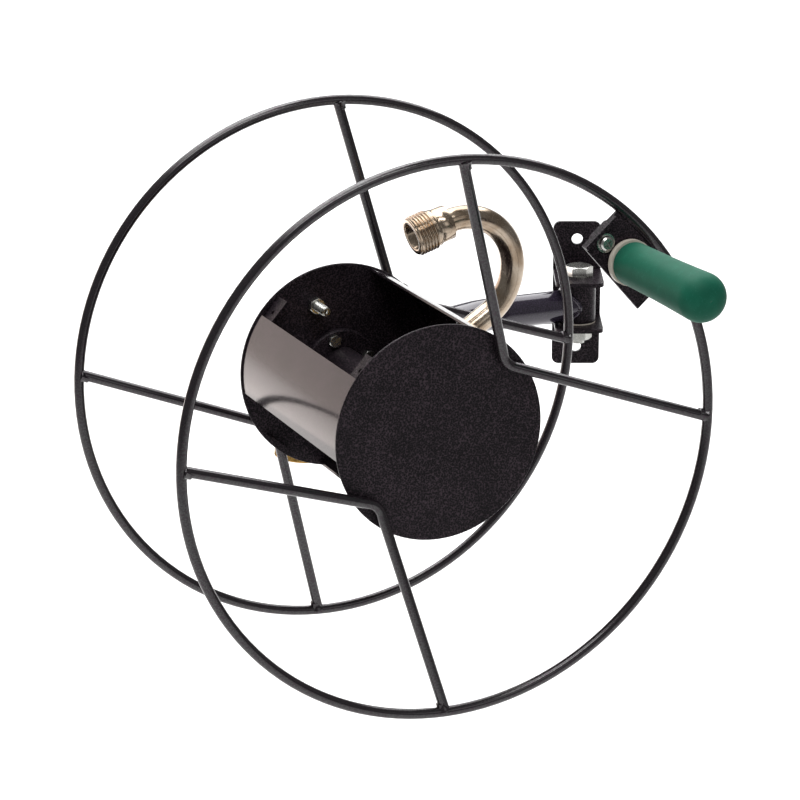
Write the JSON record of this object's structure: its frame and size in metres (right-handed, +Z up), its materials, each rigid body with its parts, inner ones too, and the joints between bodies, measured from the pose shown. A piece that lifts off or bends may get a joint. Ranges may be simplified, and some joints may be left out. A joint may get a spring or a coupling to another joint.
{
  "type": "wall-mounted hose reel",
  "caption": "Garden hose reel with wire wheels and a sheet drum, turning on a water-carrying axle at the end of an arm that swings from a wall bracket.",
  "frame": {"origin": "centre of the wall plate's back face, on the wall", "axes": "+Y into the wall, +Z up, +X to the right as one faces the wall; the reel stands out towards -Y"},
  "size_m": [0.4192, 0.4357, 0.3682],
  "materials": {
    "speckled_black": "silver vein powder coat",
    "gloss_black": "gloss enamel",
    "zinc": "bright zinc plate",
    "nickel": "satin nickel plate",
    "brass": "machined brass",
    "bronze": "sintered bronze",
    "nylon": "natural nylon",
    "rubber_seal": "black rubber",
    "green_vinyl": "soft matt vinyl",
    "core_plastic": "moulded"
  },
  "bodies": {
    "wall_bracket": {"wall_plate": "speckled_black", "clevis": "speckled_black", "pivot_bolt": "zinc", "pivot_washers": "zinc", "pivot_nut": "zinc"},
    "arm": {"pivot_sleeve": "gloss_black", "pivot_bush_upper": "nylon", "pivot_bush_lower": "nylon", "arm_tube": "gloss_black", "axle_boss": "gloss_black", "axle_tube": "brass", "axle_seals": "rubber_seal", "retaining_ring": "zinc", "thrust_washer": "nylon", "inlet_elbow": "brass"},
    "inlet_coupling": {"inlet_nut": "brass", "inlet_washer": "rubber_seal"},
    "reel": {"front_ring": "speckled_black", "rear_ring": "speckled_black", "front_spoke_upper": "speckled_black", "front_spoke_lower": "speckled_black", "rear_spoke_upper": "speckled_black", "rear_spoke_lower": "speckled_black", "front_disc": "speckled_black", "rear_disc": "speckled_black", "drum_wrap": "speckled_black", "front_rivets": "speckled_black", "rear_rivets": "speckled_black", "drum_studs": "zinc", "drum_stud_nuts": "zinc", "hub": "speckled_black", "hub_bolts": "zinc", "hub_nuts": "zinc", "hub_bushes": "bronze", "swivel_body": "brass", "outlet_tube": "nickel", "outlet_fitting": "nickel", "handle_bracket": "speckled_black", "handle_foot": "speckled_black", "screw_washer": "zinc", "bracket_screw": "zinc", "screw_nut": "zinc", "handle_rod": "zinc", "grip_collar": "nylon"},
    "grip": {"grip_core": "core_plastic", "grip_cover": "green_vinyl"}
  },
  "joints": [
    {"name": "swing", "type": "hinge", "parent": "wall_bracket", "child": "arm", "pos_m": [0, -0.027, 0.0006], "axis": [0, 0, 1], "range_deg": [-35, 76]},
    {"name": "reel_spin", "type": "hinge", "parent": "arm", "child": "reel", "pos_m": [-0.09645, -0.36047, -0.0021], "axis": [0.3973, -0.9177, 0], "continuous": true},
    {"name": "grip_spin", "type": "hinge", "parent": "reel", "child": "grip", "pos_m": [0.01562, -0.32034, 0.10374], "axis": [0.3973, -0.9177, 0], "continuous": true},
    {"name": "inlet_nut_spin", "type": "hinge", "parent": "arm", "child": "inlet_coupling", "pos_m": [-0.20302, -0.14269, -0.08231], "axis": [-0.1277, -0.0553, -0.9903], "continuous": true}
  ]
}
